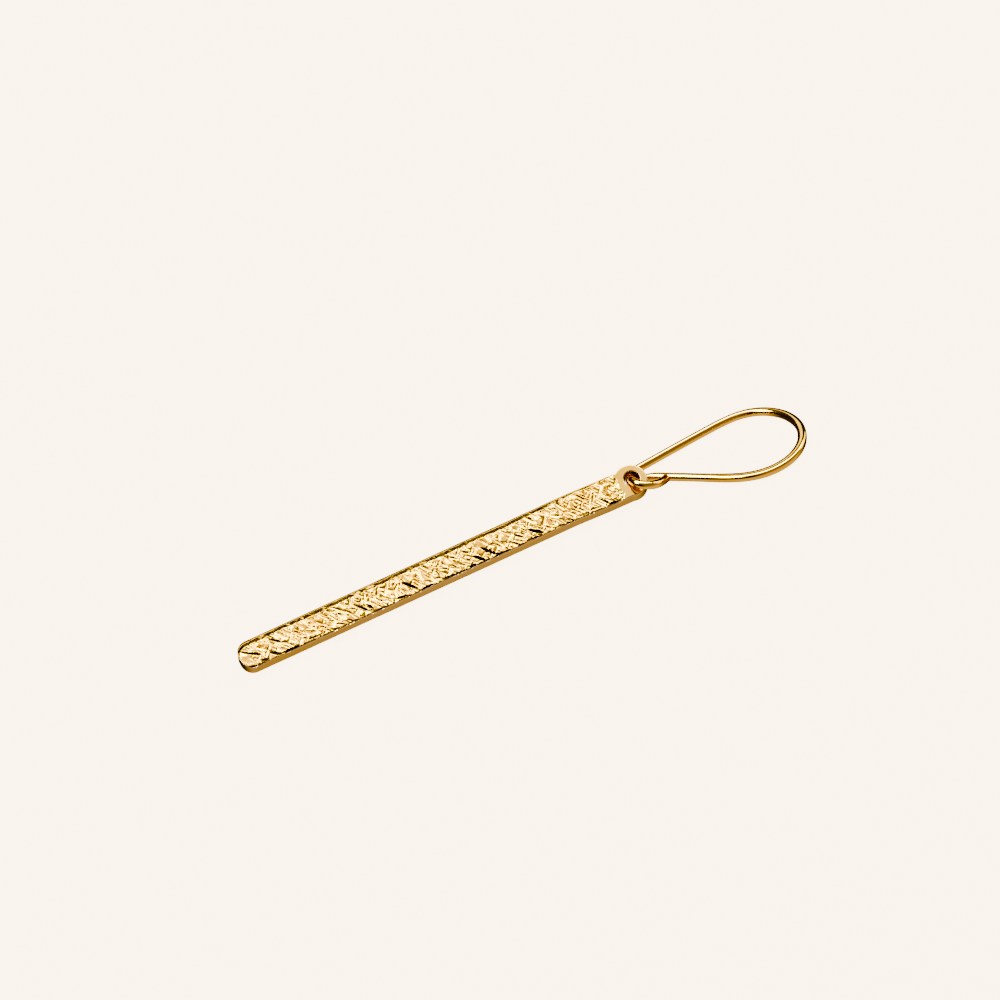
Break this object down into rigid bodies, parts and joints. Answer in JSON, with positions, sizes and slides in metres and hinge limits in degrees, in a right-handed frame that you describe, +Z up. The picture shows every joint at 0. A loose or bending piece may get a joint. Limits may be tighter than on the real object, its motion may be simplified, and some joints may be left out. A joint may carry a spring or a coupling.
{
  "type": "dangle earring",
  "caption": "Dangle earring lying flat: a long hammered gold-tone bar hung by its eye from the small closed ring of a teardrop ear wire.",
  "frame": {"origin": "centre of the lying earring's bounding box, on the table it rests on", "axes": "+Z up from the table, +X along the bar from its lower end to the ear wire, +Y across the bar, away from the side its face leans towards"},
  "size_m": [0.057, 0.0106, 0.0027],
  "materials": {
    "bar_gold": "gold-tone cast metal, face cut all over with short slanting strokes, eye and sides smooth and polished",
    "wire_gold": "gold-tone polished wire"
  },
  "bodies": {
    "root": {"bar_pendant": "bar_gold", "ear_wire": "wire_gold"}
  },
  "joints": []
}
